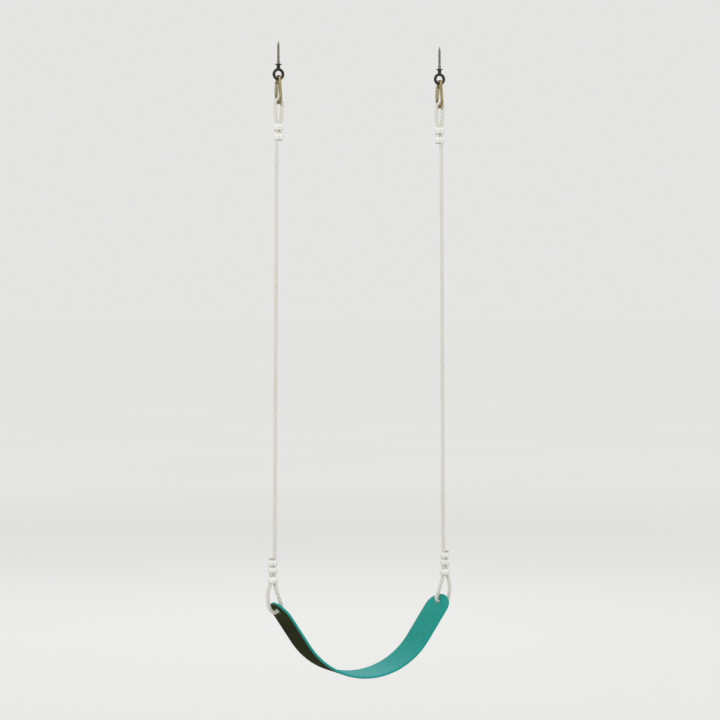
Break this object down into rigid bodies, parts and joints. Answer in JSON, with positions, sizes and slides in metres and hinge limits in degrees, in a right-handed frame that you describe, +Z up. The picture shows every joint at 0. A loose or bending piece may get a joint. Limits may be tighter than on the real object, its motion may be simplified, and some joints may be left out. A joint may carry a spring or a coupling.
{
  "type": "belt swing seat",
  "caption": "Flexible belt swing seat hung on two looped and clamped ropes, with snap hooks on screw eyes for an overhead beam.",
  "frame": {"origin": "on the beam's underside, midway between the two screw eyes", "axes": "+X along the beam from the left screw eye to the right one, +Y away from the viewer and along the direction of swing, +Z up into the beam"},
  "size_m": [0.556, 0.13, 1.7281],
  "materials": {
    "dark_steel": "satin",
    "zinc_steel": "satin",
    "rivet_steel": "satin",
    "spring_steel": "bright",
    "rope": "three-strand laid",
    "clamp_plastic": "gloss",
    "belt_rubber": "fine moulded texture"
  },
  "bodies": {
    "hangers": {"left_screw_eye": "dark_steel", "right_screw_eye": "dark_steel"},
    "left_hook": {"left_snap_hook": "zinc_steel", "left_gate_rivet": "rivet_steel"},
    "left_gate": {"left_gate": "zinc_steel", "left_gate_spring": "spring_steel"},
    "left_rope": {"left_rope": "rope", "left_top_clamp_upper": "clamp_plastic", "left_top_clamp_lower": "clamp_plastic", "left_seat_clamp_upper": "clamp_plastic", "left_seat_clamp_lower": "clamp_plastic", "left_seat_bead": "clamp_plastic"},
    "right_hook": {"right_snap_hook": "zinc_steel", "right_gate_rivet": "rivet_steel"},
    "right_gate": {"right_gate": "zinc_steel", "right_gate_spring": "spring_steel"},
    "right_rope": {"right_rope": "rope", "right_top_clamp_upper": "clamp_plastic", "right_top_clamp_lower": "clamp_plastic", "right_seat_clamp_upper": "clamp_plastic", "right_seat_clamp_lower": "clamp_plastic", "right_seat_bead": "clamp_plastic"},
    "belt": {"belt": "belt_rubber"}
  },
  "joints": [
    {"name": "left_swing", "type": "hinge", "parent": "hangers", "child": "left_hook", "pos_m": [-0.24, 0, -0.041], "axis": [1, 0, 0], "range_deg": [-60, 60]},
    {"name": "left_sway", "type": "hinge", "parent": "left_hook", "child": "left_rope", "pos_m": [-0.24, 0, -0.105], "axis": [0, 1, 0], "range_deg": [-8, 8]},
    {"name": "left_gate_hinge", "type": "hinge", "parent": "left_hook", "child": "left_gate", "pos_m": [-0.24, 0.01046, -0.05075], "axis": [1, 0, 0], "range_deg": [-25, 0], "stiffness_Nm_per_rad": 0.05, "springref_deg": 11.46},
    {"name": "right_swing", "type": "hinge", "parent": "hangers", "child": "right_hook", "pos_m": [0.24, 0, -0.041], "axis": [1, 0, 0], "range_deg": [-60, 60]},
    {"name": "right_sway", "type": "hinge", "parent": "right_hook", "child": "right_rope", "pos_m": [0.24, 0, -0.105], "axis": [0, 1, 0], "range_deg": [-8, 8]},
    {"name": "right_gate_hinge", "type": "hinge", "parent": "right_hook", "child": "right_gate", "pos_m": [0.24, 0.01046, -0.05075], "axis": [1, 0, 0], "range_deg": [-25, 0], "stiffness_Nm_per_rad": 0.05, "springref_deg": 11.46},
    {"name": "belt_level", "type": "hinge", "parent": "left_rope", "child": "belt", "pos_m": [-0.24, 0, -1.474], "axis": [0, 1, 0], "range_deg": [-8, 8]}
  ],
  "couplings": [
    {"joint": "right_swing", "follows": "left_swing", "ratio": 1},
    {"joint": "right_sway", "follows": "left_sway", "ratio": 1},
    {"joint": "belt_level", "follows": "left_sway", "ratio": -1}
  ]
}
